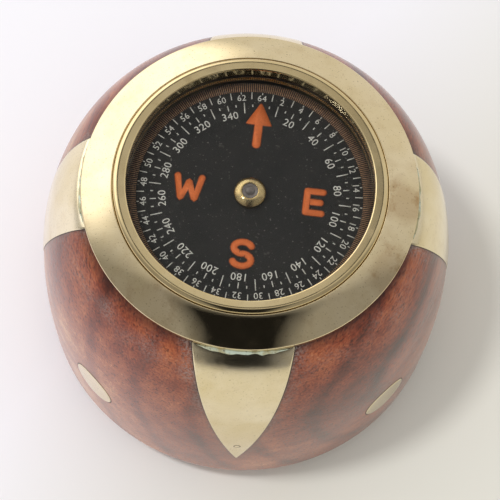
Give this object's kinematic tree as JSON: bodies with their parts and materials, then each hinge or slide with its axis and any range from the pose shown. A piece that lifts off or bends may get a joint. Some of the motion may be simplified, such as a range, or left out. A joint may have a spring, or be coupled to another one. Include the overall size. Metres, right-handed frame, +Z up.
{
  "type": "handheld bearing compass",
  "caption": "Palm-sized turned hardwood dome with a brass crown let into it and a glazed brass capsule in which a black dry compass card turns on a needle.",
  "frame": {"origin": "middle of the foot, on the surface the compass stands on", "axes": "+Z up along the axis of turning, -Y towards the front leaf of the brass crown"},
  "size_m": [0.084, 0.084, 0.0629],
  "materials": {
    "lacquered_hardwood": "turned and lacquered reddish hardwood",
    "baize": "green baize",
    "polished_brass": "polished by hand, lightly tarnished",
    "spun_brass": "spun, unpolished",
    "hub_brass": "turned and polished",
    "solder": "soft solder with pale green bloom",
    "crystal_glass": "clear flat glass",
    "jewel_glass": "polished agate or glass jewel",
    "gasket_cork": "thin dark packing",
    "needle_steel": "ground steel",
    "magnet_steel": "dark magnet steel",
    "card_black": "matt black printed aluminium"
  },
  "bodies": {
    "case": {"wood_body": "lacquered_hardwood", "base_pad": "baize", "collar_ring": "polished_brass", "inlay_leaf_front": "polished_brass", "inlay_leaf_right": "polished_brass", "inlay_leaf_back": "polished_brass", "inlay_leaf_left": "polished_brass", "leaf_pins": "polished_brass", "inlay_dot_front_right": "polished_brass", "inlay_dot_back_right": "polished_brass", "inlay_dot_back_left": "polished_brass", "inlay_dot_front_left": "polished_brass", "solder_seams": "solder", "bezel_ring": "polished_brass", "glass_crystal": "crystal_glass", "glass_gasket": "gasket_cork", "glass_seat_ring": "polished_brass", "housing_cup": "spun_brass", "cup_screws": "spun_brass", "pivot_post": "spun_brass", "pivot_needle": "needle_steel"},
    "card": {"dial_card": "card_black", "card_hub": "hub_brass", "hub_jewel": "jewel_glass", "hub_washer": "hub_brass", "magnet_carrier": "spun_brass", "magnet_east": "magnet_steel", "magnet_west": "magnet_steel"}
  },
  "joints": [
    {"name": "card_turn", "type": "hinge", "parent": "case", "child": "card", "pos_m": [0, 0, 0.0558], "axis": [0, 0, 1], "continuous": true}
  ]
}
